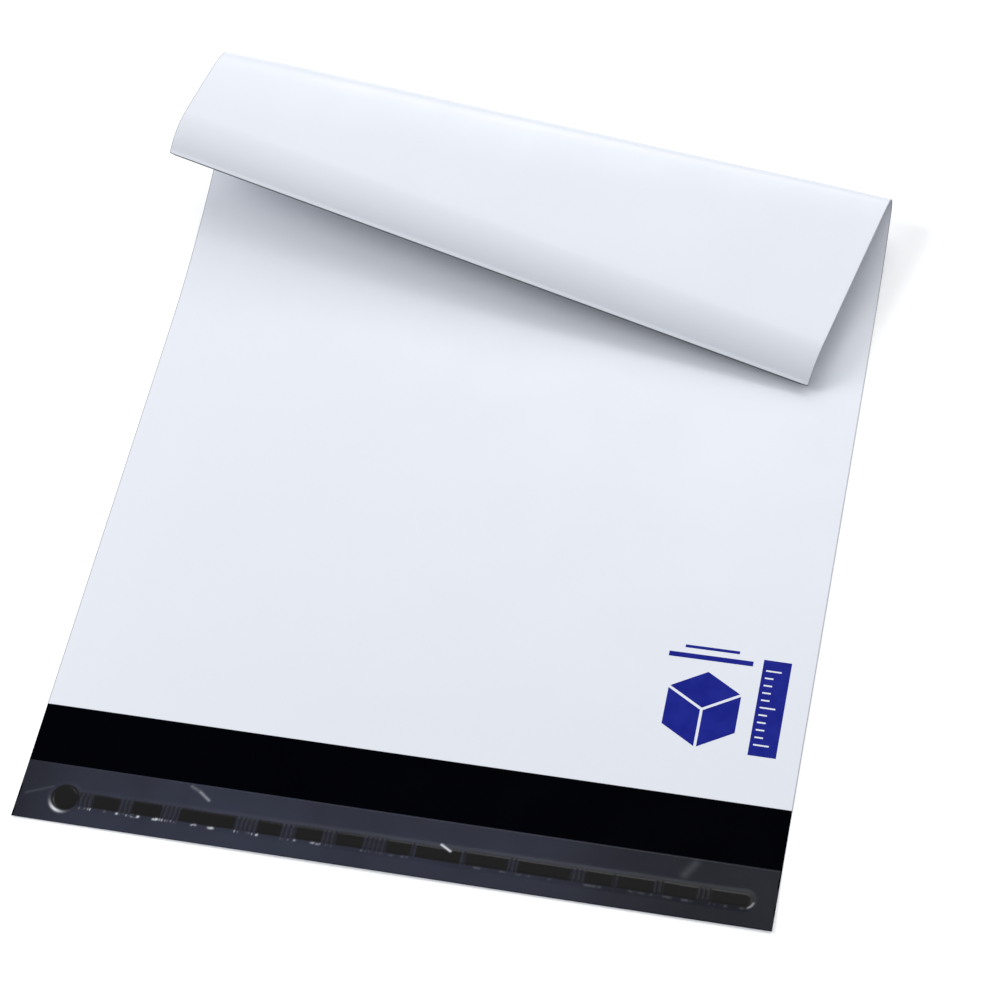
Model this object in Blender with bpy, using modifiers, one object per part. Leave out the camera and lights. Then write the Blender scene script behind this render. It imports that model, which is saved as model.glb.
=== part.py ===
"""Self-seal poly mailer bag, lying flat with its closed end rolled up and over.

Frame: the origin is on the underside of the flat film, below the middle of the mouth.
X runs across the bag from left to right, and Y from the mouth towards the closed end.
The flap lies at negative Y.
"""
import math

import bmesh
import bpy
from mathutils import Matrix, Vector

MM = 0.001
INCH = 25.4 * MM

# The bag as it lies flat
BAG_WIDTH = 12.0 * INCH
LEFT_EDGE = -BAG_WIDTH / 2.0
BAG_LENGTH = 15.5 * INCH          # mouth to closed end
FLAP_LENGTH = 2.0 * INCH
FILM = 0.1 * MM                   # one wall of film
POCKET_GAP = 0.3 * MM             # between the two walls

# The rolled end: straight bend lines cross the bag, and each turns the film a little more.
# They leave the left edge and the right edge at different distances from the mouth, which
# makes the roll a slanting cone that is wide at the left and tight at the right.
ROLL_LEFT = (188.0 * MM, 370.0 * MM)
ROLL_RIGHT = (232.0 * MM, 310.0 * MM)
SPREAD_BEND = math.radians(28.0)  # shared evenly by all bend lines
# The bend that turns the bag over: (turn, middle, reach to either side), the last two as
# shares of the way from the first bend line to the last
TURN_OVER = (math.radians(156.0), 0.77, 0.12)
BEND_LINES = 44
# The closed end curls down along lines that run parallel to it
END_CURL = math.radians(45.0)
END_CURL_REACH = 20.0 * MM
CURL_LINES = 6

FLAT_ROWS = 4                     # mesh rows between the mouth and the roll
COLUMNS = 8
FOLD_STEPS = 4                    # round the fold at the closed end

# Closure strip on the flap
BEAD_LINE = -39.8 * MM            # Y of the adhesive bead's middle
BEAD_START = -132.9 * MM          # middle of the round dab that the bead starts with
BEAD_END = 143.6 * MM
BEAD_WIDTH = 6.5 * MM
DAB_WIDTH = 12.0 * MM
BEAD_HEIGHT = 0.5 * MM
ARC_STEPS = 12
LINER_WIDTH = 1.0 * INCH
LINER_FILM = 0.1 * MM
LINER_MARGIN = 2.0 * MM           # how far beside the bead the liner stays lifted
LINER_SLOPE = 3.5 * MM            # how far it then takes to come down
LINER_CELLS = (60, 14)
CLEARANCE = 0.3 * MM              # between pieces that rest on each other


def clear_scene():
    for thing in list(bpy.data.objects):
        bpy.data.objects.remove(thing, do_unlink=True)


def make_collection(name):
    collection = bpy.data.collections.new(name)
    bpy.context.scene.collection.children.link(collection)
    return collection


def make_material(name, colour, roughness, metallic=0.0):
    material = bpy.data.materials.new(name)
    material.use_nodes = True
    shader = material.node_tree.nodes["Principled BSDF"]
    shader.inputs["Base Color"].default_value = (*colour, 1.0)
    shader.inputs["Roughness"].default_value = roughness
    shader.inputs["Metallic"].default_value = metallic
    material.diffuse_color = (*colour, 1.0)
    return material


def add_object(name, data, collection, *materials):
    piece = bpy.data.objects.new(name, data)
    collection.objects.link(piece)
    for material in materials:
        data.materials.append(material)
    return piece


def smooth_by_angle(mesh):
    mesh.shade_smooth()
    mesh.set_sharp_from_angle(angle=math.radians(30.0))


def blend(pair, share):
    return pair[0] + (pair[1] - pair[0]) * share


def bend_at(share):
    """The turn of the film at one place along the roll, as an angle per bend line."""
    turn, middle, reach = TURN_OVER
    away = min(abs(share - middle) / reach, 1.0)
    turn_over = turn * (1.0 + math.cos(math.pi * away)) / (2.0 * reach)
    return (SPREAD_BEND + turn_over) / BEND_LINES


def flat_rows():
    """Every row of the flat bag from mouth to closed end, with the turn it makes.

    A row is (distance from the mouth at the left edge, the same at the right edge, turn).
    """
    first = (blend(ROLL_LEFT, 0.5 / BEND_LINES), blend(ROLL_RIGHT, 0.5 / BEND_LINES))
    rows = [(first[0] * step / FLAT_ROWS, first[1] * step / FLAT_ROWS, 0.0)
            for step in range(FLAT_ROWS)]
    for line in range(BEND_LINES):
        share = (line + 0.5) / BEND_LINES
        rows.append((blend(ROLL_LEFT, share), blend(ROLL_RIGHT, share), bend_at(share)))
    for line in range(CURL_LINES):
        distance = BAG_LENGTH - END_CURL_REACH * (1.0 - (line + 0.5) / CURL_LINES)
        rows.append((distance, distance, END_CURL / CURL_LINES))
    rows.append((BAG_LENGTH, BAG_LENGTH, 0.0))
    return rows


def turn_about(point, direction, angle):
    return (Matrix.Translation(point)
            @ Matrix.Rotation(angle, 4, direction)
            @ Matrix.Translation(-point))


def rolled_rows():
    """The rows in their rolled place: (left end, right end, up from the film)."""
    placed = []
    carried = Matrix.Identity(4)
    up = Vector((0.0, 0.0, 1.0))
    for left, right, turn in flat_rows():
        start = Vector((LEFT_EDGE, left, 0.0))
        stop = Vector((-LEFT_EDGE, right, 0.0))
        onward = carried @ turn_about(start, stop - start, turn)
        normal = (carried.to_3x3() @ up + onward.to_3x3() @ up).normalized()
        placed.append((carried @ start, carried @ stop, normal))
        carried = onward
    return placed


def web_rows():
    """One web of film: front wall, round the fold at the closed end, back wall, flap."""
    half = (FILM + POCKET_GAP) / 2.0
    middle = Vector((0.0, 0.0, FILM / 2.0 + half))
    rows = rolled_rows()
    front = [(left + normal * half, right + normal * half) for left, right, normal in rows]
    back = [(left - normal * half, right - normal * half) for left, right, normal in rows]

    left, right, normal = rows[-1]
    across = (right - left).normalized()
    outward = normal.cross(across)
    fold = []
    for step in range(1, FOLD_STEPS):
        angle = math.pi * step / FOLD_STEPS
        round_end = (normal * math.cos(angle) + outward * math.sin(angle)) * half
        fold.append((left + round_end, right + round_end))

    flap_left = Vector((LEFT_EDGE, -FLAP_LENGTH, -half))
    flap = [(flap_left, flap_left + Vector((BAG_WIDTH, 0.0, 0.0)))]
    web = front + fold + back[::-1] + flap
    return [(left + middle, right + middle) for left, right in web], len(front), len(fold)


def weld_sides(mesh_data, grid, front_count, fold_count):
    """Close both sides of the pocket, from the mouth to the fold."""
    last = 2 * front_count + fold_count - 1
    for column in (0, COLUMNS):
        for row in range(front_count - 1):
            corners = (grid[row, column], grid[row + 1, column],
                       grid[last - row - 1, column], grid[last - row, column])
            mesh_data.faces.new(corners)
        round_end = [grid[row, column]
                     for row in range(front_count - 1, front_count + fold_count + 1)]
        mesh_data.faces.new(round_end)


def make_bag(collection):
    rows, front_count, fold_count = web_rows()
    mesh_data = bmesh.new()
    bmesh.ops.create_grid(mesh_data, x_segments=COLUMNS, y_segments=len(rows) - 1, size=1.0)
    inset = FILM / 2.0 / BAG_WIDTH
    grid = {}
    for corner in mesh_data.verts:
        column = round((corner.co.x + 1.0) / 2.0 * COLUMNS)
        row = round((corner.co.y + 1.0) / 2.0 * (len(rows) - 1))
        share = inset + (1.0 - 2.0 * inset) * column / COLUMNS
        corner.co = rows[row][0].lerp(rows[row][1], share)
        grid[row, column] = corner
    weld_sides(mesh_data, grid, front_count, fold_count)
    bmesh.ops.recalc_face_normals(mesh_data, faces=mesh_data.faces)
    flap_face = next(face for face in mesh_data.faces if face.calc_center_median().y < 0.0)
    if flap_face.normal.z > 0.0:
        bmesh.ops.reverse_faces(mesh_data, faces=mesh_data.faces)

    mesh = bpy.data.meshes.new("bag_film")
    mesh_data.to_mesh(mesh)
    mesh_data.free()
    smooth_by_angle(mesh)
    white = make_material("white_film", (0.83, 0.85, 0.89), 0.32)
    black = make_material("black_film", (0.004, 0.004, 0.006), 0.25)
    bag = add_object("bag_film", mesh, collection, white, black)
    wall = bag.modifiers.new("film", "SOLIDIFY")
    wall.solidify_mode = "NON_MANIFOLD"
    wall.nonmanifold_thickness_mode = "CONSTRAINTS"
    wall.nonmanifold_merge_threshold = FILM / 100.0
    wall.thickness = FILM
    wall.offset = 0.0
    wall.material_offset = 1
    return bag


def bead_outline():
    """The bead from above: a round dab, a straight run and a round end."""
    dab = DAB_WIDTH / 2.0
    half = BEAD_WIDTH / 2.0
    neck = math.asin(half / dab)
    points = []
    for step in range(2 * ARC_STEPS + 1):
        angle = neck + (2.0 * math.pi - 2.0 * neck) * step / (2 * ARC_STEPS)
        points.append((BEAD_START + dab * math.cos(angle), dab * math.sin(angle)))
    for step in range(ARC_STEPS + 1):
        angle = -math.pi / 2.0 + math.pi * step / ARC_STEPS
        points.append((BEAD_END - half + half * math.cos(angle), half * math.sin(angle)))
    return points


def make_bead(collection):
    outline = bpy.data.curves.new("adhesive_bead", "CURVE")
    outline.dimensions = "2D"
    outline.fill_mode = "BOTH"
    outline.extrude = BEAD_HEIGHT / 2.0
    points = bead_outline()
    spline = outline.splines.new("POLY")
    spline.points.add(len(points) - 1)
    for point, (x, y) in zip(spline.points, points):
        point.co = (x, y, 0.0, 1.0)
    spline.use_cyclic_u = True
    glue = make_material("hot_melt", (0.30, 0.27, 0.21), 0.35)
    bead = add_object("adhesive_bead", outline, collection, glue)
    bead.location = (0.0, BEAD_LINE, FILM + CLEARANCE + BEAD_HEIGHT / 2.0)
    return bead


def bead_distance(x, y):
    """How far a point on the flap is outside the bead's edge."""
    along = min(max(x, BEAD_START), BEAD_END - BEAD_WIDTH / 2.0)
    to_run = math.hypot(x - along, y - BEAD_LINE) - BEAD_WIDTH / 2.0
    to_dab = math.hypot(x - BEAD_START, y - BEAD_LINE) - DAB_WIDTH / 2.0
    return min(to_run, to_dab)


def liner_lift(x, y):
    """Extra height of the liner where it rides over the bead."""
    beside = (bead_distance(x, y) - LINER_MARGIN) / LINER_SLOPE
    eased = min(max(beside, 0.0), 1.0)
    return (BEAD_HEIGHT + CLEARANCE) * (1.0 + math.cos(math.pi * eased)) / 2.0


def make_liner(collection):
    mesh_data = bmesh.new()
    bmesh.ops.create_grid(mesh_data, x_segments=LINER_CELLS[0], y_segments=LINER_CELLS[1],
                          size=0.5)
    for corner in mesh_data.verts:
        x = corner.co.x * BAG_WIDTH
        y = (corner.co.y + 0.5) * LINER_WIDTH - FLAP_LENGTH
        corner.co = (x, y, FILM + CLEARANCE + liner_lift(x, y))
    mesh = bpy.data.meshes.new("release_liner")
    mesh_data.to_mesh(mesh)
    mesh_data.free()
    smooth_by_angle(mesh)
    film = make_material("coated_liner", (0.025, 0.027, 0.034), 0.3)
    liner = add_object("release_liner", mesh, collection, film)
    wall = liner.modifiers.new("film", "SOLIDIFY")
    wall.thickness = LINER_FILM
    wall.offset = 1.0
    return liner


def main():
    clear_scene()
    collection = make_collection("poly_mailer_bag")
    make_bag(collection)
    make_bead(collection)
    make_liner(collection)


main()
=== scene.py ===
import math

import bmesh
import bpy
from mathutils import Matrix, Vector, noise


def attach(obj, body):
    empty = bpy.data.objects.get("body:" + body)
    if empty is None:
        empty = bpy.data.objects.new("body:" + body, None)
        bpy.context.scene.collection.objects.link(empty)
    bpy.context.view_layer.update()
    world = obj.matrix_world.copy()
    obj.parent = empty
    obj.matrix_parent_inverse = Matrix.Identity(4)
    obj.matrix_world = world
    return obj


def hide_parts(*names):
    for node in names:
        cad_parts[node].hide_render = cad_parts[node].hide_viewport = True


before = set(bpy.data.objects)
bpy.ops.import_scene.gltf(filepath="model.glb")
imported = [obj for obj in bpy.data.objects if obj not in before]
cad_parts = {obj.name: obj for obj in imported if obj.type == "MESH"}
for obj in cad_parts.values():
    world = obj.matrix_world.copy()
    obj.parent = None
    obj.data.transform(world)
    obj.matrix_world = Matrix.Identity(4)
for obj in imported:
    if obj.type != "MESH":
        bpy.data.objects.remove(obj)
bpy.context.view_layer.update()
print("frame loaded:", sorted(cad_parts))

mm = 0.001
inch = 25.4 * mm


def mixNumber(a, b, share):
    return a + (b - a) * share


def smoothStep(low, high, value):
    share = min(max((value - low) / (high - low), 0.0), 1.0)
    return share * share * (3.0 - 2.0 * share)


def softNoise(x, y, size, seed):
    # smooth hills and hollows between -1 and 1, about `size` metres across
    return noise.noise(Vector((x / size, y / size, seed * 7.31)))


def newObject(name, mesh, *materials):
    piece = bpy.data.objects.new(name, mesh)
    bpy.context.scene.collection.objects.link(piece)
    for material in materials:
        mesh.materials.append(material)
    return piece


def meshFromBmesh(name, work):
    mesh = bpy.data.meshes.new(name)
    work.to_mesh(mesh)
    work.free()
    mesh.shade_smooth()
    return mesh


def addNode(tree, kind, values=None, **settings):
    node = tree.nodes.new(kind)
    for key, value in settings.items():
        setattr(node, key, value)
    for key, value in (values or {}).items():
        node.inputs[key].default_value = value
    return node


def link(tree, source, target):
    tree.links.new(source, target)


def mixColours(tree, factor, colourA, colourB):
    # either colour may be a plain triple or another node's output
    mix = addNode(tree, "ShaderNodeMix", data_type="RGBA")
    link(tree, factor, mix.inputs["Factor"])
    for socket, colour in ((mix.inputs[6], colourA), (mix.inputs[7], colourB)):
        if hasattr(colour, "is_output"):
            link(tree, colour, socket)
        else:
            socket.default_value = (*colour, 1.0)
    return mix.outputs[2]


def mapRange(tree, value, fromLow, fromHigh, toLow, toHigh):
    node = addNode(tree, "ShaderNodeMapRange")
    link(tree, value, node.inputs["Value"])
    ends = {"From Min": fromLow, "From Max": fromHigh, "To Min": toLow, "To Max": toHigh}
    for key, number in ends.items():
        node.inputs[key].default_value = number
    return node.outputs["Result"]


def twoInputMath(tree, operation, first, second):
    node = addNode(tree, "ShaderNodeMath", operation=operation)
    link(tree, first, node.inputs[0])
    link(tree, second, node.inputs[1])
    return node.outputs[0]


def newMaterial(name):
    material = bpy.data.materials.new(name)
    material.use_nodes = True
    tree = material.node_tree
    return material, tree, tree.nodes["Principled BSDF"]


def bumpFrom(tree, height, strength, distance):
    bump = addNode(tree, "ShaderNodeBump", {"Strength": strength, "Distance": distance})
    link(tree, height, bump.inputs["Height"])
    return bump.outputs["Normal"]


# blown film: long draw lines along the bag, orange peel, cloudy pigment and dust
def makeFilmGrain():
    group = bpy.data.node_groups.new("filmGrain", "ShaderNodeTree")
    for name, value in (("drawLines", 1.0), ("peel", 1.0), ("cloudSize", 30.0)):
        group.interface.new_socket(name, in_out="INPUT", socket_type="NodeSocketFloat").default_value = value
    for name in ("height", "cloud", "dust"):
        group.interface.new_socket(name, in_out="OUTPUT", socket_type="NodeSocketFloat")
    given = group.nodes.new("NodeGroupInput")
    made = group.nodes.new("NodeGroupOutput")
    place = addNode(group, "ShaderNodeTexCoord").outputs["Object"]
    stretch = addNode(group, "ShaderNodeMapping", {"Scale": (900.0, 14.0, 14.0)})
    link(group, place, stretch.inputs["Vector"])
    lines = addNode(group, "ShaderNodeTexNoise", {"Scale": 1.0, "Detail": 3.0, "Roughness": 0.55})
    link(group, stretch.outputs["Vector"], lines.inputs["Vector"])
    peel = addNode(group, "ShaderNodeTexNoise", {"Scale": 700.0, "Detail": 2.0, "Roughness": 0.5})
    link(group, place, peel.inputs["Vector"])
    cloud = addNode(group, "ShaderNodeTexNoise", {"Detail": 3.0, "Roughness": 0.5})
    link(group, place, cloud.inputs["Vector"])
    link(group, given.outputs["cloudSize"], cloud.inputs["Scale"])
    specks = addNode(group, "ShaderNodeTexVoronoi", {"Scale": 260.0, "Randomness": 1.0}, feature="F1")
    link(group, place, specks.inputs["Vector"])
    lineShare = twoInputMath(group, "MULTIPLY", lines.outputs["Fac"], given.outputs["drawLines"])
    peelShare = twoInputMath(group, "MULTIPLY", peel.outputs["Fac"], given.outputs["peel"])
    link(group, twoInputMath(group, "ADD", lineShare, peelShare), made.inputs["height"])
    link(group, cloud.outputs["Fac"], made.inputs["cloud"])
    link(group, mapRange(group, specks.outputs["Distance"], 0.02, 0.07, 1.0, 0.0), made.inputs["dust"])
    return group


filmGrain = makeFilmGrain()


def addGrain(tree, drawLines, peel, cloudSize):
    values = {"drawLines": drawLines, "peel": peel, "cloudSize": cloudSize}
    return addNode(tree, "ShaderNodeGroup", values, node_tree=filmGrain)


def roughnessFrom(tree, grain, ends):
    # glossier and duller areas follow the cloudy pigment
    return mapRange(tree, grain.outputs["cloud"], 0.3, 0.7, *ends)


bag = {
    "width": 12.0 * inch,
    "length": 15.5 * inch,        # mouth to closed end, lying flat
    "flap": 2.0 * inch,
    "film": 0.065 * mm,
    "middleHeight": 0.19 * mm,    # from the floor to the middle of the pocket
    "pocket": 0.25 * mm,          # between the middles of the two walls
    "weldWidth": 2.2 * mm,        # side weld, where the walls come together
    "weldPocket": 0.32,           # share of the pocket that is left in the weld
    "cutEdge": 0.45 * mm,         # where the black inside shows along a weld
    "mouthEdge": 0.25 * mm,       # a narrow first row keeps the mouth crisp
    "foldSpring": 0.36 * mm,      # how far the fold at the closed end springs open
    "weldSpring": 0.4,            # share of that spring in the weld
    "columns": 84,
    "flatRows": 50,
    "stripRows": 14,
    "foldSteps": 8,
    "flapRows": 20,
}

# trapped air swells the walls, and fades out towards the welds, the closed end and the mouth
air = {
    "lift": 0.5 * mm,
    "calmSides": 26.0 * mm,
    "calmEnd": 30.0 * mm,
    "calmMouth": 40.0 * mm,
    "mouthShare": 0.25,
    "swells": (75.0 * mm, 32.0 * mm),
    "offFloor": (0.56, 0.66),     # the back wall is free to swell from here on, in shares of the length
}

# rows between the curl and the fold, as distances from the fold
foldRows = [1.6 * mm, 1.25 * mm, 0.95 * mm, 0.7 * mm, 0.5 * mm, 0.35 * mm, 0.15 * mm, 0.0]

# bend lines cross the bag, and meet the two side edges at different distances from the mouth
roll = {
    "left": (188.0 * mm, 370.0 * mm),                       # first and last line at the left edge
    "right": (232.0 * mm, 310.0 * mm),
    "spreadBend": math.radians(28.0),                       # shared by all the lines
    "turnOver": (math.radians(156.0), 0.77, 0.12),          # turn, middle, reach to either side
    "lines": 130,
    "endCurl": math.radians(45.0),                          # the closed end curls down
    "endCurlReach": 20.0 * mm,
    "endCurlLines": 20,
}


def bendAt(share):
    turn, middle, reach = roll["turnOver"]
    away = min(abs(share - middle) / reach, 1.0)
    turnOver = turn * (1.0 + math.cos(math.pi * away)) / (2.0 * reach)
    return (roll["spreadBend"] + turnOver) / roll["lines"]


def bagRows():
    # each row: distance from the mouth at the left edge, at the right edge, and the turn made there
    lines = roll["lines"]
    first = (mixNumber(*roll["left"], 0.5 / lines), mixNumber(*roll["right"], 0.5 / lines))
    rows = [(0.0, 0.0, 0.0), (bag["mouthEdge"], bag["mouthEdge"], 0.0)]
    for step in range(1, bag["flatRows"]):
        share = step / bag["flatRows"]
        rows.append((first[0] * share, first[1] * share, 0.0))
    for line in range(lines):
        share = (line + 0.5) / lines
        rows.append((mixNumber(*roll["left"], share), mixNumber(*roll["right"], share), bendAt(share)))
    # the flat strip before the curl narrows to the left
    last = rows[-1]
    curlStart = bag["length"] - roll["endCurlReach"]
    for step in range(1, bag["stripRows"]):
        share = step / bag["stripRows"]
        rows.append((mixNumber(last[0], curlStart, share), mixNumber(last[1], curlStart, share), 0.0))
    curlLength = roll["endCurlReach"] - foldRows[0]
    for line in range(roll["endCurlLines"]):
        y = curlStart + curlLength * line / roll["endCurlLines"]
        rows.append((y, y, roll["endCurl"] / roll["endCurlLines"]))
    rows += [(bag["length"] - distance, bag["length"] - distance, 0.0) for distance in foldRows]
    return rows


def rolledRows():
    half = bag["width"] / 2.0
    carried = Matrix.Identity(4)
    up = Vector((0.0, 0.0, 1.0))
    placed = []
    for left, right, turn in bagRows():
        start = Vector((-half, left, 0.0))
        stop = Vector((half, right, 0.0))
        bend = Matrix.Translation(start) @ Matrix.Rotation(turn, 4, stop - start) @ Matrix.Translation(-start)
        onward = carried @ bend
        normal = (carried.to_3x3() @ up + onward.to_3x3() @ up).normalized()
        placed.append((left, right, carried @ start, carried @ stop, normal))
        carried = onward
    return placed


def columnShares():
    # columns crowd towards the side edges, and the outermost strip is as wide as the cut edge shows
    inner = bag["columns"] - 2
    edge = bag["cutEdge"] / bag["width"]
    shares = [0.0]
    for step in range(inner + 1):
        even = step / inner
        crowded = 0.5 - 0.5 * math.cos(math.pi * even)
        shares.append(mixNumber(edge, 1.0 - edge, mixNumber(even, crowded, 0.35)))
    return shares + [1.0]


def pillowAt(x, y, side):
    edge = bag["width"] / 2.0 - abs(x)
    calm = smoothStep(bag["weldWidth"], air["calmSides"], edge)
    calm *= smoothStep(0.0, air["calmEnd"], bag["length"] - y)
    calm *= mixNumber(air["mouthShare"], 1.0, smoothStep(0.0, air["calmMouth"], y))
    large, small = air["swells"]
    swell = 0.5 + 0.5 * softNoise(x, y, large, side) + 0.22 * softNoise(x, y, small, side + 3)
    return air["lift"] * calm * max(swell, 0.0)


def wallOffset(x, y, side):
    # distance of a wall from the pocket's middle; side is 1 for the front wall, -1 for the back wall
    edge = bag["width"] / 2.0 - abs(x)
    weld = smoothStep(0.0, bag["weldWidth"], edge)
    gap = bag["pocket"] * mixNumber(bag["weldPocket"], 1.0, weld) / 2.0
    nearFold = 1.0 - smoothStep(foldRows[-3], foldRows[0], bag["length"] - y)
    spring = bag["foldSpring"] * mixNumber(bag["weldSpring"], 1.0, weld) * nearFold
    leaves, free = air["offFloor"]
    offFloor = 1.0 if side > 0 else smoothStep(bag["length"] * leaves, bag["length"] * free, y)
    return side * (gap + spring + offFloor * pillowAt(x, y, side))


# the flap's free edge stands a little off what it lies on
flap = {
    "lift": 1.1 * mm,
    "liftFrom": 20.0 * mm,        # distance from the mouth where it starts to rise
    "liftTo": bag["flap"] * 1.15,
    "wander": 95.0 * mm,          # the lift wanders along the edge over about this length
}


def flapLift(x, y):
    share = 0.75 + 0.35 * softNoise(x, 0.0, flap["wander"], 31)
    return flap["lift"] * share * smoothStep(flap["liftFrom"], flap["liftTo"], -y)


bagRowList = rolledRows()
liftOfBag = Vector((0.0, 0.0, bag["middleHeight"]))
flapTop = bag["middleHeight"] + wallOffset(0.0, 0.0, -1) + bag["film"] / 2.0


whiteFilm = {
    "colour": (0.676, 0.700, 0.750),
    "cloudColour": (0.664, 0.688, 0.740),
    "cutEdgeAndFoldShadeColour": (0.014, 0.016, 0.024),       # the black inside showing at the side cut edges, and painted shade along the fold at the closed end
    "trimAtSides": 0.75,
    "roughness": (0.30, 0.38),
    "grain": {"drawLines": 0.7, "peel": 0.5, "cloudSize": 24.0},
    "grainDepth": 0.02 * mm,
}


def makeBagMesh():
    # one web: up the front wall, round the fold, down the back wall and out along the flap
    rows = bagRowList
    shares = columnShares()
    columns = len(shares) - 1
    frontCount = len(rows)
    foldCount = bag["foldSteps"] - 1
    flapCount = bag["flapRows"]
    total = 2 * frontCount + foldCount + flapCount
    work = bmesh.new()
    bmesh.ops.create_grid(work, x_segments=columns, y_segments=total - 1, size=1.0)
    # the black inside at the side cut edges, and painted shade along the fold at the closed end, where shadow
    # falls under the curl
    sideCutAndFoldShade = work.verts.layers.float.new("cutEdgeAndFoldShade")
    grid = {}
    for corner in work.verts:
        column = round((corner.co.x + 1.0) / 2.0 * columns)
        row = round((corner.co.y + 1.0) / 2.0 * (total - 1))
        share = shares[column]
        grid[row, column] = corner
        x = (share - 0.5) * bag["width"]
        corner[sideCutAndFoldShade] = whiteFilm["trimAtSides"] if column in (0, columns) else 0.0
        if row < frontCount or frontCount + foldCount <= row < 2 * frontCount + foldCount:
            side = 1 if row < frontCount else -1
            index = row if side > 0 else 2 * frontCount + foldCount - 1 - row
            left, right, start, stop, normal = rows[index]
            y = mixNumber(left, right, share)
            corner.co = start.lerp(stop, share) + normal * wallOffset(x, y, side) + liftOfBag
            # painted shade: the film right beside the fold is darkened as the shadow under the closed end
            if bag["length"] - y < (foldRows[-3] if side > 0 else 0.01 * mm):
                corner[sideCutAndFoldShade] = 1.0
        elif row < frontCount + foldCount:
            left, right, start, stop, normal = rows[-1]
            angle = math.pi * (row - frontCount + 1) / bag["foldSteps"]
            reach = abs(wallOffset(x, bag["length"], 1))
            outward = normal.cross((stop - start).normalized())
            swing = normal * math.cos(angle) + outward * math.sin(angle)
            corner.co = start.lerp(stop, share) + swing * reach + liftOfBag
            # painted shade: the whole fold is darkened as the shadow under the closed end
            corner[sideCutAndFoldShade] = 1.0
        else:
            y = -bag["flap"] * (row - 2 * frontCount - foldCount + 1) / flapCount
            height = bag["middleHeight"] + wallOffset(x, 0.0, -1) + flapLift(x, y)
            corner.co = Vector((x, y, height))
    # side welds join the walls from the mouth to the fold
    last = 2 * frontCount + foldCount - 1
    for column in (0, columns):
        for row in range(frontCount - 1):
            work.faces.new((grid[row, column], grid[row + 1, column],
                            grid[last - row - 1, column], grid[last - row, column]))
        work.faces.new([grid[row, column] for row in range(frontCount - 1, frontCount + foldCount + 1)])
    # the film turns its white side out, so the faces have to look out of the bag and under the flap
    bmesh.ops.recalc_face_normals(work, faces=work.faces)
    flapFace = next(face for face in work.faces if face.calc_center_median().y < -bag["flap"] / 2.0)
    if flapFace.normal.z > 0.0:
        bmesh.ops.reverse_faces(work, faces=work.faces)
    mesh = meshFromBmesh("bagFilm", work)
    mesh.set_sharp_from_angle(angle=math.radians(50.0))
    return mesh


def makeWhiteFilm():
    material, tree, shader = newMaterial("whiteFilm")
    grain = addGrain(tree, **whiteFilm["grain"])
    cloud = mapRange(tree, grain.outputs["cloud"], 0.35, 0.65, 0.0, 1.0)
    colour = mixColours(tree, cloud, whiteFilm["colour"], whiteFilm["cloudColour"])
    # painted shade along the fold, and the black inside at the side cut edges
    sideCutAndFoldShade = addNode(tree, "ShaderNodeAttribute", attribute_name="cutEdgeAndFoldShade")
    colour = mixColours(tree, sideCutAndFoldShade.outputs["Fac"], colour, whiteFilm["cutEdgeAndFoldShadeColour"])
    link(tree, colour, shader.inputs["Base Color"])
    link(tree, roughnessFrom(tree, grain, whiteFilm["roughness"]), shader.inputs["Roughness"])
    normal = bumpFrom(tree, grain.outputs["height"], 0.35, whiteFilm["grainDepth"])
    link(tree, normal, shader.inputs["Normal"])
    return material


blackFilm = {
    "colour": (0.0003, 0.0004, 0.0009),
    "cloudColour": (0.0006, 0.0008, 0.0020),
    "roughness": (0.24, 0.34),
    "grain": {"drawLines": 0.8, "peel": 0.4, "cloudSize": 30.0},
    "grainDepth": 0.02 * mm,
    "gloss": 0.008,
}


def makeBlackFilm():
    material, tree, shader = newMaterial("blackFilm")
    grain = addGrain(tree, **blackFilm["grain"])
    colour = mixColours(tree, grain.outputs["cloud"], blackFilm["colour"], blackFilm["cloudColour"])
    link(tree, colour, shader.inputs["Base Color"])
    link(tree, roughnessFrom(tree, grain, blackFilm["roughness"]), shader.inputs["Roughness"])
    normal = bumpFrom(tree, grain.outputs["height"], 0.3, blackFilm["grainDepth"])
    link(tree, normal, shader.inputs["Normal"])
    shader.inputs["Specular IOR Level"].default_value = blackFilm["gloss"]
    return material


bagFilm = newObject("bagFilm", makeBagMesh(), makeWhiteFilm(), makeBlackFilm())
wall = bagFilm.modifiers.new("wall", "SOLIDIFY")
wall.thickness = bag["film"]
wall.offset = 0.0
wall.material_offset = 1      # white outside, black inside
wall.material_offset_rim = 0
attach(bagFilm, "root")
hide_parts("bag_film")
print("bag film:", len(bagFilm.data.polygons), "faces before the wall is given its thickness")


# the print is a layer of navy ink on the front wall, near the mouth at the right
ink = {
    "height": 0.02 * mm,          # over the film
    "layer": 0.012 * mm,          # how thick the ink is
    "boxMiddle": (110.5 * mm, 38.0 * mm),
    "boxEdge": 17.5 * mm,
    "boxGap": 1.3 * mm,           # bare lines between the faces of the box figure
    "bars": [                     # middle, width and height
        (110.5 * mm, 61.0 * mm, 34.0 * mm, 2.2 * mm),
        (110.5 * mm, 65.2 * mm, 22.0 * mm, 1.3 * mm),
    ],
    "label": (137.1 * mm, 42.3 * mm, 11.2 * mm, 42.6 * mm),
    "tickPitch": 3.3 * mm,
    "tickWidth": 0.7 * mm,
    "tickInset": 1.5 * mm,
    "tickLengths": (3.4 * mm, 6.2 * mm),
    "longEvery": 5,               # every so many ticks, one is long
    "colour": (0.0052, 0.0103, 0.195),
    "thinColour": (0.0085, 0.0150, 0.225),
    "roughness": (0.32, 0.42),
    "grain": {"drawLines": 0.5, "peel": 0.8, "cloudSize": 140.0},
    "gloss": 0.06,
    "cuts": 5,                    # lets the ink follow the swell of the wall
}


def rectangle(x, y, width, height):
    signs = ((-1, -1), (1, -1), (1, 1), (-1, 1))
    return [(x + signX * width / 2.0, y + signY * height / 2.0) for signX, signY in signs]


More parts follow.
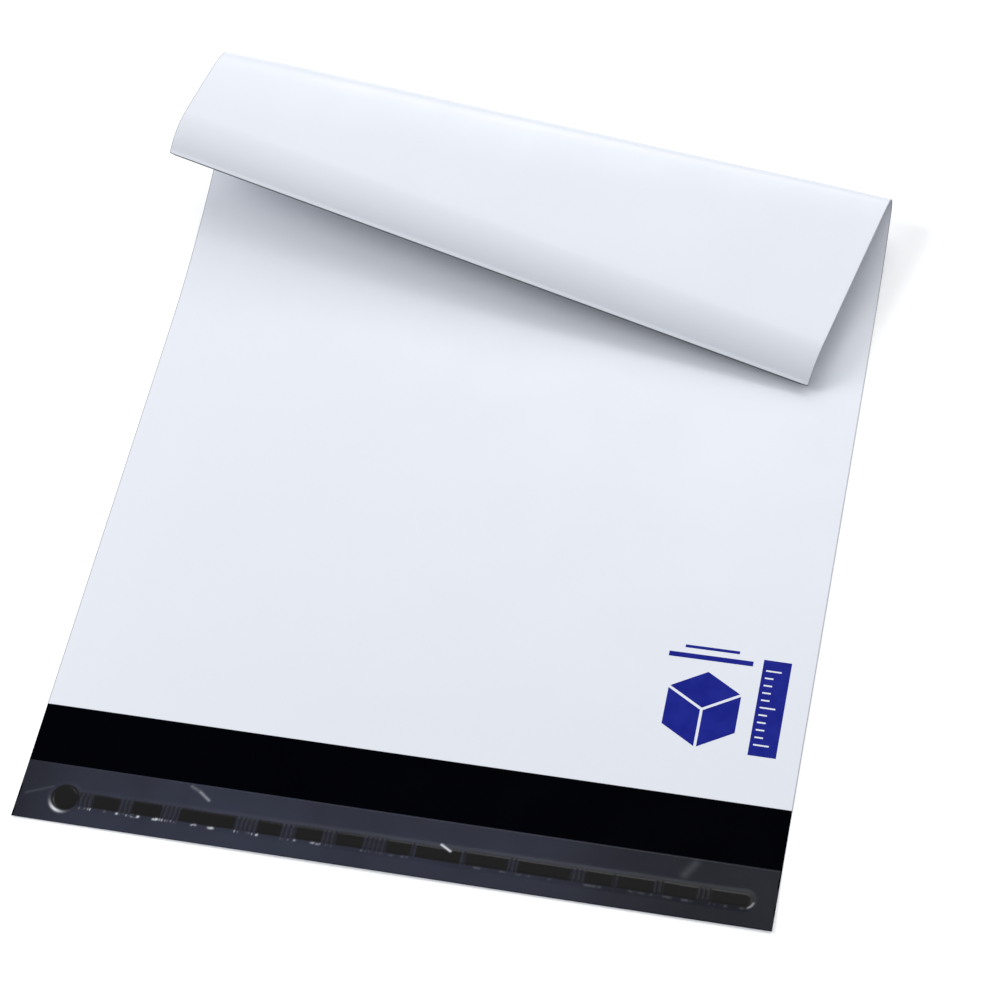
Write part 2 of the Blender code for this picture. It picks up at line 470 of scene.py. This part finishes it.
def boxFigure():
    # three rhombi that meet in the middle, drawn in by half the gap
    middleX, middleY = ink["boxMiddle"]
    shrink = 1.0 - ink["boxGap"] / ink["boxEdge"]
    figure = []
    for turn in range(3):
        corners = [(0.0, 0.0)]
        for step in range(3):
            angle = math.radians(30.0 + 120.0 * turn + 60.0 * step)
            corners.append((ink["boxEdge"] * math.cos(angle), ink["boxEdge"] * math.sin(angle)))
        centreX = sum(x for x, y in corners) / 4.0
        centreY = sum(y for x, y in corners) / 4.0
        outline = []
        for x, y in corners:
            outline.append((middleX + centreX + (x - centreX) * shrink,
                            middleY + centreY + (y - centreY) * shrink))
        figure.append(outline)
    return figure


def labelFigure():
    # a navy label on a grid of lines, with the cells of its ruler ticks left bare
    x, y, width, height = ink["label"]
    count = int(height / ink["tickPitch"]) - 1
    tickSide = x - width / 2.0 + ink["tickInset"]
    tickEnds = [tickSide + length for length in ink["tickLengths"]]
    acrossLines = [x - width / 2.0, tickSide, *tickEnds, x + width / 2.0]
    upLines = [y - height / 2.0]
    for tick in range(count):
        tickY = y + (tick - (count - 1) / 2.0) * ink["tickPitch"]
        upLines += [tickY - ink["tickWidth"] / 2.0, tickY + ink["tickWidth"] / 2.0]
    upLines.append(y + height / 2.0)
    figure = []
    for row, (low, high) in enumerate(zip(upLines, upLines[1:])):
        tick, between = row // 2, row % 2 == 0
        bare = 0 if between else (2 if tick % ink["longEvery"] == 0 else 1)
        for column, (left, right) in enumerate(zip(acrossLines, acrossLines[1:])):
            if not 1 <= column <= bare:
                figure.append([(left, low), (right, low), (right, high), (left, high)])
    return figure


def makePrintMesh():
    work = bmesh.new()
    bars = [rectangle(*bar) for bar in ink["bars"]]
    for outline in boxFigure() + bars + labelFigure():
        work.faces.new([work.verts.new((x, y, 0.0)) for x, y in outline])
    bmesh.ops.remove_doubles(work, verts=work.verts, dist=0.01 * mm)
    bmesh.ops.subdivide_edges(work, edges=work.edges, cuts=ink["cuts"], use_grid_fill=True)
    for corner in work.verts:
        x, y, _ = corner.co
        corner.co.z = bag["middleHeight"] + wallOffset(x, y, 1) + bag["film"] / 2.0 + ink["height"]
    bmesh.ops.recalc_face_normals(work, faces=work.faces)
    for face in [face for face in work.faces if face.normal.z < 0.0]:
        face.normal_flip()
    mesh = meshFromBmesh("navyPrint", work)
    mesh.shade_flat()
    return mesh


def makeInk():
    material, tree, shader = newMaterial("navyInk")
    grain = addGrain(tree, **ink["grain"])
    cloud = mapRange(tree, grain.outputs["cloud"], 0.35, 0.65, 0.0, 1.0)
    link(tree, mixColours(tree, cloud, ink["colour"], ink["thinColour"]), shader.inputs["Base Color"])
    link(tree, roughnessFrom(tree, grain, ink["roughness"]), shader.inputs["Roughness"])
    # the ink is as thin as to show the film's own grain
    normal = bumpFrom(tree, grain.outputs["height"], 0.25, whiteFilm["grainDepth"])
    link(tree, normal, shader.inputs["Normal"])
    shader.inputs["Specular IOR Level"].default_value = ink["gloss"]
    return material


navyPrint = newObject("navyPrint", makePrintMesh(), makeInk())
inkLayer = navyPrint.modifiers.new("layer", "SOLIDIFY")
inkLayer.thickness = ink["layer"]
inkLayer.offset = 1.0
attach(navyPrint, "root")
print("print:", len(navyPrint.data.polygons), "faces")


bead = {
    "line": -39.8 * mm,           # Y of the bead's middle
    "start": -132.9 * mm,         # middle of the round dab
    "end": 143.6 * mm,
    "width": 6.5 * mm,
    "dab": 12.0 * mm,
    "height": 0.42 * mm,
    "crown": 1.1 * mm,            # how far in from its edge the glue rises to its height
    "dabCrown": 1.8 * mm,
    "dabHeight": 1.05,            # heights of the dab and a pressed patch, as shares of the height
    "pressedHeight": 0.86,
    "wander": 0.25 * mm,          # how far the run strays from a straight line
    "ridgePitch": 1.85 * mm,
    "firstPatch": -121.0 * mm,
    "patchInset": 0.25 * mm,
    "patchCorner": 1.1 * mm,
    "border": 0.4 * mm,           # bare grid round the glue, cut away in the end
    "clearance": 0.01 * mm,       # between the flap and the glue
    "columns": 560,
    "rows": 26,
}

# each pressed patch of glue is followed by a few ridges: (length in mm, ridges)
beadRhythm = [(11, 3), (12, 4), (23, 5), (10, 3), (11, 3), (11, 5), (10, 1), (18, 1),
              (17, 2), (21, 3), (11, 1), (14, 2), (13, 3), (16, 0)]


def beadPatches():
    # (start, stop) of every pressed patch along the bead; ridges fill what lies between
    patches = []
    x = bead["firstPatch"]
    for length, ridges in beadRhythm:
        patches.append((x, x + length * mm))
        x += length * mm + ridges * bead["ridgePitch"]
    return patches


patchList = beadPatches()


def patchShare(x, y):
    # 1 inside a pressed patch with rounded corners, 0 among the ridges
    best = 0.0
    halfWidth = bead["width"] / 2.0 - bead["patchInset"]
    corner = bead["patchCorner"]
    for start, stop in patchList:
        dx = abs(x - (start + stop) / 2.0) - (stop - start) / 2.0 + corner
        dy = abs(y - bead["line"]) - halfWidth + corner
        outside = math.hypot(max(dx, 0.0), max(dy, 0.0)) + min(max(dx, dy), 0.0) - corner
        best = max(best, 1.0 - smoothStep(-0.35 * mm, 0.25 * mm, outside))
    return best


def dabDistance(x, y):
    # distance outside the dab's edge, negative inside it; the dab is slightly flattened
    return math.hypot(x - bead["start"], (y - bead["line"]) * 1.02) - bead["dab"] / 2.0


def runDistance(x, y):
    # distance outside the edge of the run of glue, negative inside it
    along = min(max(x, bead["start"]), bead["end"] - bead["width"] / 2.0)
    wander = bead["wander"] * softNoise(x, 0.0, 9.0 * mm, 11)
    return math.hypot(x - along, y - bead["line"] - wander) - bead["width"] / 2.0


def ridgeAt(x, y):
    # 1 on the crest of a ridge, 0 between ridges
    jitter = 0.25 * mm * softNoise(x, y, 3.0 * mm, 5)
    return 0.5 + 0.5 * math.cos(2.0 * math.pi * (x + jitter) / bead["ridgePitch"])


def beadHeightAt(x, y):
    # height of the glue above the flap, 0 outside it
    run = runDistance(x, y)
    dab = dabDistance(x, y)
    body = 0.0
    if run < 0.0:
        crown = 1.0 - smoothStep(-bead["crown"], 0.0, run)
        loose = 0.62 + 0.38 * ridgeAt(x, y) + 0.1 * softNoise(x, y, 2.5 * mm, 8)
        body = crown * mixNumber(loose, bead["pressedHeight"], patchShare(x, y))
    if dab < 0.0:
        body = max(body, (1.0 - smoothStep(-bead["dabCrown"], 0.0, dab)) * bead["dabHeight"])
    return bead["height"] * body


def makeBeadMesh():
    work = bmesh.new()
    left = bead["start"] - bead["dab"] / 2.0 - bead["border"]
    right = bead["end"] + bead["border"]
    half = bead["dab"] / 2.0 + bead["border"]
    bmesh.ops.create_grid(work, x_segments=bead["columns"], y_segments=bead["rows"], size=0.5)
    floor = flapTop + bead["clearance"]
    for corner in work.verts:
        x = mixNumber(left, right, corner.co.x + 0.5)
        y = bead["line"] + corner.co.y * 2.0 * half
        corner.co = (x, y, floor + beadHeightAt(x, y))
    # what is not glue is cut away, and the rest is closed underneath
    bare = [face for face in work.faces if all(v.co.z < floor + 0.02 * mm for v in face.verts)]
    bmesh.ops.delete(work, geom=bare, context="FACES")
    copied = bmesh.ops.duplicate(work, geom=work.faces[:] + work.edges[:] + work.verts[:])["geom"]
    for corner in [item for item in copied if isinstance(item, bmesh.types.BMVert)]:
        corner.co.z = floor
    rim = [edge for edge in work.edges if edge.is_boundary]
    bmesh.ops.bridge_loops(work, edges=rim)
    bmesh.ops.recalc_face_normals(work, faces=work.faces)
    for corner in work.verts:
        corner.co.z += flapLift(corner.co.x, corner.co.y)
    return meshFromBmesh("adhesiveBead", work)


hotMelt = {
    "colour": (0.33, 0.25, 0.13),
    "deepColour": (0.20, 0.14, 0.06),
    "roughness": (0.16, 0.3),
    "grain": {"drawLines": 0.0, "peel": 1.0, "cloudSize": 180.0},
    "grainDepth": 0.05 * mm,
    "glow": 0.3,                  # how much light goes into the glue and out again
    "glowDepth": 0.5 * mm,
}


def makeHotMelt():
    material, tree, shader = newMaterial("hotMelt")
    grain = addGrain(tree, **hotMelt["grain"])
    colour = mixColours(tree, grain.outputs["cloud"], hotMelt["colour"], hotMelt["deepColour"])
    link(tree, colour, shader.inputs["Base Color"])
    link(tree, roughnessFrom(tree, grain, hotMelt["roughness"]), shader.inputs["Roughness"])
    normal = bumpFrom(tree, grain.outputs["height"], 0.5, hotMelt["grainDepth"])
    link(tree, normal, shader.inputs["Normal"])
    shader.inputs["Subsurface Weight"].default_value = hotMelt["glow"]
    shader.inputs["Subsurface Scale"].default_value = hotMelt["glowDepth"]
    return material


adhesiveBead = newObject("adhesiveBead", makeBeadMesh(), makeHotMelt())
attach(adhesiveBead, "root")
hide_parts("adhesive_bead")
print("adhesive bead:", len(adhesiveBead.data.polygons), "faces")


liner = {
    "width": 1.0 * inch,
    "film": 0.05 * mm,
    "gap": 0.03 * mm,             # over the flap
    "slope": 1.8 * mm,            # how far the liner takes to come down beside the glue
    "slopeShare": 0.62,           # where it starts down, as a share of the glue's height
    "lowest": 0.42,               # it stays at least this share up while it is over the glue
    "ripple": 0.05 * mm,
    "sag": 0.01 * mm,
    "columns": 680,
    "rowsAcross": 60,
    "rowFocus": 0.62,             # how strongly the rows crowd round the bead
}

# scuffs on the liner: both ends, half the width, and how bright it is
scuffs = [
    ((-83.5 * mm, -26.8 * mm), (-79.5 * mm, -28.6 * mm), 0.45 * mm, 0.14),
    ((-79.5 * mm, -28.6 * mm), (-75.0 * mm, -31.8 * mm), 0.45 * mm, 0.30),
    ((20.8 * mm, -35.7 * mm), (24.9 * mm, -38.1 * mm), 0.35 * mm, 0.9),
    ((-149.6 * mm, -40.1 * mm), (-139.1 * mm, -35.7 * mm), 0.5 * mm, 0.03),
    ((119.5 * mm, -27.6 * mm), (116.0 * mm, -33.0 * mm), 1.6 * mm, 0.035),
]


def linerHeightAt(x, y):
    # the liner follows the glue and bridges down to the flap beside it
    outside = min(runDistance(x, y), dabDistance(x, y))
    lift = 0.0
    if outside < -0.05 * mm:
        lift = max(beadHeightAt(x, y), bead["height"] * liner["lowest"])
    down = smoothStep(-0.6 * mm, liner["slope"], outside)
    tent = bead["height"] * liner["slopeShare"] * (1.0 - down)
    waves = softNoise(x, y, 14.0 * mm, 21) + 0.6 * softNoise(x, y, 5.0 * mm, 22)
    ripple = liner["ripple"] * smoothStep(0.3 * mm, 3.0 * mm, outside) * waves
    return max(lift, tent) + max(ripple, -liner["sag"])


def linerRow(share):
    # rows crowd round the bead's line; share runs from the free edge to the liner's inner edge
    middle = (bead["line"] + bag["flap"]) / liner["width"]
    away = share - middle
    reach = min(abs(away) / max(middle, 1.0 - middle), 1.0)
    return middle + away * mixNumber(1.0, reach, liner["rowFocus"])


def segmentDistance(x, y, start, stop):
    point, start, stop = Vector((x, y)), Vector(start), Vector(stop)
    along = (point - start).dot(stop - start) / (stop - start).length_squared
    return (point - start.lerp(stop, min(max(along, 0.0), 1.0))).length


# painted highlights: white glints in specks along the glue's front edge, a glint crescent round the dab and a
# tick round the run's end, plus the real scuffs on the liner
paintedGlint = {
    "band": (0.35 * mm, 0.42 * mm),         # distance from the run's edge, and half the width
    "crescent": (0.35 * mm, 0.5 * mm),      # the same at the dab
    "crescentAt": math.radians(-118.0),
    "crescentReach": math.radians(30.0),
    "fade": (-80.0 * mm, 15.0 * mm),        # the specks fade from left to right
    "fadeTo": 0.07,
    "endTick": (0.2 * mm, 0.35 * mm),       # and a short tick is left round the run's end
    "endTickFrom": (141.0 * mm, 142.5 * mm),
    "endTickBright": 0.35,
}


def hump(value, middle, half):
    # 1 in the middle, falling off smoothly to either side
    return math.exp(-((value - middle) / half) ** 2)


# painted highlights along the glue and round the dab, plus the real scuffs
def glintsAndScuffsAt(x, y):
    fade = mixNumber(1.0, paintedGlint["fadeTo"], smoothStep(*paintedGlint["fade"], x))
    fade *= smoothStep(-0.45, 0.25, softNoise(x, y, 1.2 * mm, 43))
    white = 0.0
    run = runDistance(x, y)
    dab = dabDistance(x, y)
    if y < bead["line"] and dab > 0.0:
        # painted glints: dashes beside the pressed patches, specks beside the ridges
        pressed = patchShare(x, bead["line"])
        dashes = smoothStep(0.02, 0.32, softNoise(x, 0.0, 4.2 * mm, 41))
        specks = smoothStep(0.55, 0.9, ridgeAt(x * 1.6, y))
        specks *= smoothStep(-0.2, 0.3, softNoise(x, 0.0, 3.0 * mm, 42))
        white = hump(run, *paintedGlint["band"]) * fade * mixNumber(specks * 0.75, dashes, pressed)
    # painted highlight: a glint crescent round the dab
    direction = math.atan2(y - bead["line"], x - bead["start"])
    crescent = hump(dab, *paintedGlint["crescent"])
    crescent *= hump(direction, paintedGlint["crescentAt"], paintedGlint["crescentReach"])
    white = max(white, crescent)
    # painted highlight: a short glint tick round the run's end
    tick = hump(run, *paintedGlint["endTick"]) * smoothStep(*paintedGlint["endTickFrom"], x)
    tick *= smoothStep(0.0, 1.0 * mm, bead["line"] - y)
    white = max(white, paintedGlint["endTickBright"] * tick)
    for start, stop, half, bright in scuffs:
        white = max(white, bright * hump(segmentDistance(x, y, start, stop), 0.0, half))
    return white


# a lighter bluish tone on the liner, which fades at the left end and over the right half
bluishToneSpread = {
    "middle": 0.76,
    "leftFade": (-154.0 * mm, -128.0 * mm),
    "rightFade": (20.0 * mm, 130.0 * mm),
}


def bluishToneAt(x, y):
    bluishTone = bluishToneSpread["middle"]
    bluishTone += 0.28 * softNoise(x, y, 42.0 * mm, 51) + 0.16 * softNoise(x, y, 12.0 * mm, 52)
    bluishTone *= mixNumber(0.3, 1.0, smoothStep(*bluishToneSpread["leftFade"], x))
    bluishTone *= mixNumber(1.0, 0.05, smoothStep(*bluishToneSpread["rightFade"], x))
    return max(bluishTone, 0.0)


def makeLinerMesh():
    work = bmesh.new()
    bmesh.ops.create_grid(work, x_segments=liner["columns"], y_segments=liner["rowsAcross"], size=0.5)
    low, high = linerRow(0.0), linerRow(1.0)
    base = flapTop + liner["gap"] + liner["film"] / 2.0
    layers = [work.verts.layers.float.new(name) for name in ("wetOut", "glintsAndScuffs", "bluishTone")]
    for corner in work.verts:
        x = corner.co.x * bag["width"]
        share = (linerRow(corner.co.y + 0.5) - low) / (high - low)
        y = -bag["flap"] + share * liner["width"]
        inRun = 1.0 - smoothStep(-0.5 * mm, 0.1 * mm, runDistance(x, y))
        inDab = 1.0 - smoothStep(-0.5 * mm, 0.1 * mm, dabDistance(x, y))
        pressed = patchShare(x, y)
        # the liner is wetted out over the dab and the patches, and in the hollows between ridges
        wet = max(inDab, inRun * mixNumber(0.75 - 0.55 * ridgeAt(x, y), 1.0, pressed))
        for layer, value in zip(layers, (wet, glintsAndScuffsAt(x, y), bluishToneAt(x, y))):
            corner[layer] = value
        corner.co = (x, y, base + linerHeightAt(x, y) + flapLift(x, y))
    return meshFromBmesh("releaseLiner", work)


linerFilm = {
    "plain": (0.0085, 0.0090, 0.0140),
    "bluishTone": (0.0260, 0.0290, 0.0480),
    "wetOut": (0.0085, 0.0078, 0.0080),
    # near white for the painted glints, also used for the real scuffs
    "glintAndScuffWhite": (0.72, 0.75, 0.80),
    "dust": (0.035, 0.036, 0.045),
    "roughness": (0.28, 0.38),
    "wetRoughness": 0.22,
    "grain": {"drawLines": 0.4, "peel": 1.0, "cloudSize": 38.0},
    "grainDepth": 0.03 * mm,
    "gloss": 0.14,
}


def makeLinerFilm():
    material, tree, shader = newMaterial("linerFilm")
    grain = addGrain(tree, **linerFilm["grain"])
    wet, glintsAndScuffs, bluishTone = [addNode(tree, "ShaderNodeAttribute", attribute_name=name).outputs["Fac"]
                             for name in ("wetOut", "glintsAndScuffs", "bluishTone")]
    colour = mixColours(tree, bluishTone, linerFilm["plain"], linerFilm["bluishTone"])
    colour = mixColours(tree, grain.outputs["dust"], colour, linerFilm["dust"])
    colour = mixColours(tree, wet, colour, linerFilm["wetOut"])
    # painted highlights along the glue and round the dab, and the real scuffs, mixed in as near white
    colour = mixColours(tree, glintsAndScuffs, colour, linerFilm["glintAndScuffWhite"])
    link(tree, colour, shader.inputs["Base Color"])
    rough = roughnessFrom(tree, grain, linerFilm["roughness"])
    roughMix = addNode(tree, "ShaderNodeMix", data_type="FLOAT")
    link(tree, wet, roughMix.inputs["Factor"])
    link(tree, rough, roughMix.inputs[2])
    roughMix.inputs[3].default_value = linerFilm["wetRoughness"]
    link(tree, roughMix.outputs[0], shader.inputs["Roughness"])
    normal = bumpFrom(tree, grain.outputs["height"], 0.4, linerFilm["grainDepth"])
    link(tree, normal, shader.inputs["Normal"])
    shader.inputs["Specular IOR Level"].default_value = linerFilm["gloss"]
    return material


releaseLiner = newObject("releaseLiner", makeLinerMesh(), makeLinerFilm())
linerWall = releaseLiner.modifiers.new("film", "SOLIDIFY")
linerWall.thickness = liner["film"]
linerWall.offset = 0.0
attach(releaseLiner, "root")
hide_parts("release_liner")
print("release liner:", len(releaseLiner.data.polygons), "faces before the film is given its thickness")


studio = {
    "floor": (0.93, 0.93, 0.93),
    "floorLight": (0.95, 0.95, 0.95),
    "floorSize": 6.0,             # half its side
    "floorGlow": 0.1,             # the floor is lit from below like a light table
    "world": (0.93, 0.95, 1.0),
    "worldStrength": 0.42,
    "lampsAim": (0.0, 0.15, 0.0),
}

# lamps: (name, place, size, power)
lamps = [
    ("backKey", (0.0, 1.9, 1.6), (1.2, 1.2), 20.5),
    ("backRight", (1.0, 1.0, 2.0), (1.2, 1.2), 14.0),
    ("leftFill", (-1.9, 0.2, 1.35), (1.2, 1.2), 37.0),
]


def makeFloor():
    work = bmesh.new()
    bmesh.ops.create_grid(work, x_segments=1, y_segments=1, size=studio["floorSize"])
    material, tree, shader = newMaterial("paleFloor")
    cloud = addNode(tree, "ShaderNodeTexNoise", {"Scale": 3.0, "Detail": 2.0})
    colour = mixColours(tree, cloud.outputs["Fac"], studio["floor"], studio["floorLight"])
    link(tree, colour, shader.inputs["Base Color"])
    shader.inputs["Roughness"].default_value = 0.8
    shader.inputs["Emission Color"].default_value = (1.0, 1.0, 1.0, 1.0)
    shader.inputs["Emission Strength"].default_value = studio["floorGlow"]
    newObject("paleFloor", meshFromBmesh("paleFloor", work), material)


def addLamp(name, place, size, power):
    light = bpy.data.lights.new(name, "AREA")
    light.shape = "RECTANGLE"
    light.size, light.size_y = size
    light.energy = power
    lamp = bpy.data.objects.new(name, light)
    bpy.context.scene.collection.objects.link(lamp)
    lamp.location = place
    lamp.rotation_euler = (Vector(studio["lampsAim"]) - lamp.location).to_track_quat("-Z", "Y").to_euler()


def makeWorld():
    world = bpy.data.worlds.new("studio")
    world.use_nodes = True
    background = world.node_tree.nodes["Background"]
    background.inputs["Color"].default_value = (*studio["world"], 1.0)
    background.inputs["Strength"].default_value = studio["worldStrength"]
    bpy.context.scene.world = world


camera = {
    "lookAt": (11.0 * mm, 122.1 * mm, 0.0),
    "distance": 1.152,
    "elevation": math.radians(57.71),
    "heading": math.radians(-21.03),
    "tilt": math.radians(-10.85),
    "lens": 99.27,                # millimetres, as is the sensor
    "sensor": 36.0,
    "sees": 20.0,
}


def makeCamera():
    heading, elevation, tilt = camera["heading"], camera["elevation"], camera["tilt"]
    level = math.cos(elevation)
    forward = Vector((math.sin(heading) * level, math.cos(heading) * level, -math.sin(elevation)))
    sideways = Vector((math.cos(heading), -math.sin(heading), 0.0))
    upright = sideways.cross(forward)
    right = sideways * math.cos(tilt) + upright * math.sin(tilt)
    up = upright * math.cos(tilt) - sideways * math.sin(tilt)
    data = bpy.data.cameras.new("camera")
    data.lens = camera["lens"]
    data.sensor_width = camera["sensor"]
    data.clip_end = camera["sees"]
    rig = bpy.data.objects.new("camera", data)
    bpy.context.scene.collection.objects.link(rig)
    turn = Matrix((right, up, -forward)).transposed().to_4x4()
    stand = Vector(camera["lookAt"]) - forward * camera["distance"]
    rig.matrix_world = Matrix.Translation(stand) @ turn
    bpy.context.scene.camera = rig


makeFloor()
makeWorld()
for lampValues in lamps:
    addLamp(*lampValues)
makeCamera()
bpy.context.scene.view_settings.view_transform = "Standard"
print("studio ready")
